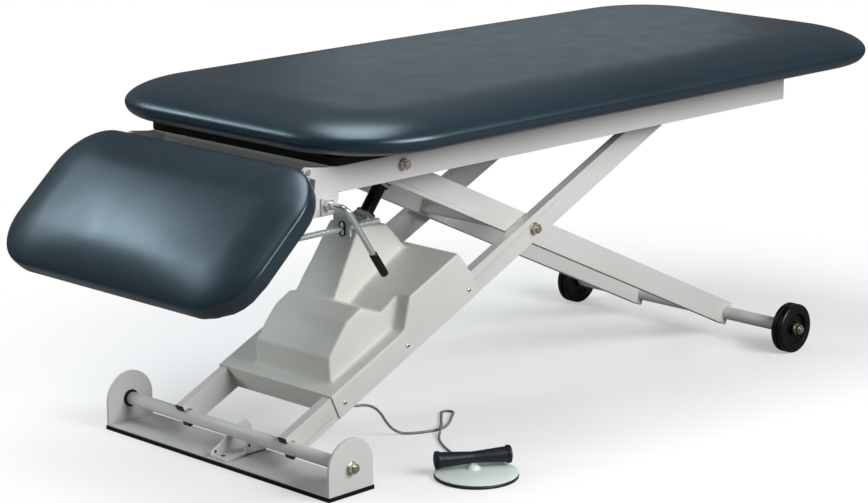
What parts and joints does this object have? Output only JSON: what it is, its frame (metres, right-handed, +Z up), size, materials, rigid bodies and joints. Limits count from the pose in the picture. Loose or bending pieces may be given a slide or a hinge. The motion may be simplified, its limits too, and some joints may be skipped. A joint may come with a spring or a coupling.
{
  "type": "exam table",
  "caption": "Powered exam table: padded top on a cross-arm lift with wheels, tilting drop section on a clamped support rod, moulded actuator cover and foot pedal on a cord.",
  "frame": {"origin": "middle of the underside of the front rubber strip, on the floor and in the middle plane of the table", "axes": "+Z up; +X from the drop section towards the wheels, along the table; -Y is the side of the clamp lever and the foot pedal"},
  "size_m": [1.7602, 0.7809, 0.6072],
  "materials": {
    "frame_paint": "satin powder coat",
    "cover_plastic": "fine grain",
    "zinc": "zinc plated",
    "black_plastic": "moulded",
    "black_rubber": "smooth",
    "upholstery": "smooth vinyl",
    "board": "black painted",
    "dark_steel": "dark",
    "pedal_plate": "pale"
  },
  "bodies": {
    "base": {"floor_plate": "frame_paint", "rubber_strip_front": "black_rubber", "rubber_strip_rear": "black_rubber", "end_plate_near": "frame_paint", "end_plate_far": "frame_paint", "base_bolt_near": "zinc", "base_bolt_far": "zinc", "base_bush_near": "black_plastic", "base_bush_far": "black_plastic", "tube_cradle": "frame_paint", "pedal_base": "pedal_plate", "pedal_cord": "black_rubber"},
    "outer_frame": {"lower_pivot_tube": "frame_paint", "outer_arm_near": "frame_paint", "outer_arm_far": "frame_paint", "middle_bolt_near": "zinc", "middle_bolt_far": "zinc", "roller_shaft": "zinc", "actuator_mount": "frame_paint", "actuator_cover": "cover_plastic", "control_box": "black_plastic"},
    "inner_frame": {"inner_arm_near": "frame_paint", "inner_arm_far": "frame_paint", "top_pivot_tube": "frame_paint", "inner_brace": "frame_paint", "axle_tube": "frame_paint", "rod_cross_tube": "frame_paint", "axle_bolt_near": "zinc", "axle_bolt_far": "zinc"},
    "top_frame": {"side_rail_near": "frame_paint", "side_rail_far": "frame_paint", "top_bolt_near": "zinc", "top_bolt_far": "zinc", "drop_hinge_pin_near": "dark_steel", "drop_hinge_pin_far": "dark_steel", "cross_member_front": "frame_paint", "cross_member_rear": "frame_paint", "platform_board": "board", "main_cushion": "upholstery", "clamp_bracket": "zinc"},
    "drop_section": {"drop_cushion": "upholstery", "drop_board": "board", "drop_hinge_near": "frame_paint", "drop_hinge_far": "frame_paint", "strut_lug": "zinc"},
    "support_rod": {"support_rod": "zinc"},
    "clamp_lever": {"clamp_lever": "zinc", "lever_grip": "black_rubber"},
    "actuator": {"actuator_tube": "zinc", "actuator_end_cap": "black_plastic", "actuator_motor": "black_plastic"},
    "actuator_rod": {"actuator_rod": "dark_steel"},
    "wheel_near": {"wheel_tyre_near": "black_rubber", "wheel_hub_near": "black_plastic"},
    "wheel_far": {"wheel_tyre_far": "black_rubber", "wheel_hub_far": "black_plastic"},
    "roller_near": {"roller_near": "black_plastic"},
    "roller_far": {"roller_far": "black_plastic"},
    "pedal_rocker": {"pedal_rocker": "black_rubber"}
  },
  "joints": [
    {"name": "lift", "type": "hinge", "parent": "base", "child": "outer_frame", "pos_m": [0.039, 0, 0.0485], "axis": [0, -1, 0], "range_deg": [-5.5, 15], "deforming": ["pedal_cord"]},
    {"name": "middle_pivot", "type": "hinge", "parent": "outer_frame", "child": "inner_frame", "pos_m": [0.63856, 0, 0.32681], "axis": [0, -1, 0], "range_deg": [-30, 11]},
    {"name": "top_pivot", "type": "hinge", "parent": "inner_frame", "child": "top_frame", "pos_m": [0.22313, 0, 0.51964], "axis": [0, -1, 0], "range_deg": [-5.5, 15]},
    {"name": "drop_tilt", "type": "hinge", "parent": "top_frame", "child": "drop_section", "pos_m": [0.008, 0, 0.53714], "axis": [0, 1, 0], "range_deg": [-38, 40]},
    {"name": "strut_swing", "type": "hinge", "parent": "drop_section", "child": "support_rod", "pos_m": [-0.06354, -0.248, 0.44003], "axis": [0, 1, 0], "range_deg": [-17.6, 16.72]},
    {"name": "lever_turn", "type": "hinge", "parent": "top_frame", "child": "clamp_lever", "pos_m": [0.047, -0.228, 0.47964], "axis": [0, 1, 0], "range_deg": [-30, 30]},
    {"name": "actuator_pitch", "type": "hinge", "parent": "outer_frame", "child": "actuator", "pos_m": [0.15944, 0.023, 0.09779], "axis": [0, -1, 0], "range_deg": [-0.35, 0.95]},
    {"name": "actuator_stroke", "type": "slide", "parent": "actuator", "child": "actuator_rod", "axis": [0.617, 0, 0.7869], "range_m": [-0.0467, 0.1271]},
    {"name": "wheel_near_spin", "type": "hinge", "parent": "inner_frame", "child": "wheel_near", "pos_m": [1.23811, 0, 0.0485], "axis": [0, -1, 0], "continuous": true},
    {"name": "wheel_far_spin", "type": "hinge", "parent": "inner_frame", "child": "wheel_far", "pos_m": [1.23811, 0, 0.0485], "axis": [0, -1, 0], "continuous": true},
    {"name": "roller_near_spin", "type": "hinge", "parent": "outer_frame", "child": "roller_near", "pos_m": [1.05398, 0, 0.51964], "axis": [0, -1, 0], "continuous": true},
    {"name": "roller_far_spin", "type": "hinge", "parent": "outer_frame", "child": "roller_far", "pos_m": [1.05398, 0, 0.51964], "axis": [0, -1, 0], "continuous": true},
    {"name": "pedal_rock", "type": "hinge", "parent": "base", "child": "pedal_rocker", "pos_m": [0.26297, -0.34866, 0.0275], "axis": [0.4985, 0.8669, 0], "range_deg": [-3, 3], "stiffness_Nm_per_rad": 1}
  ],
  "couplings": [
    {"joint": "middle_pivot", "follows": "lift", "ratio": -2},
    {"joint": "top_pivot", "follows": "lift", "ratio": 1},
    {"joint": "actuator_pitch", "follows": "lift", "ratio": 0.0632},
    {"joint": "actuator_stroke", "follows": "lift", "m_per_rad": 0.48518},
    {"joint": "strut_swing", "follows": "drop_tilt", "ratio": -0.44}
  ]
}
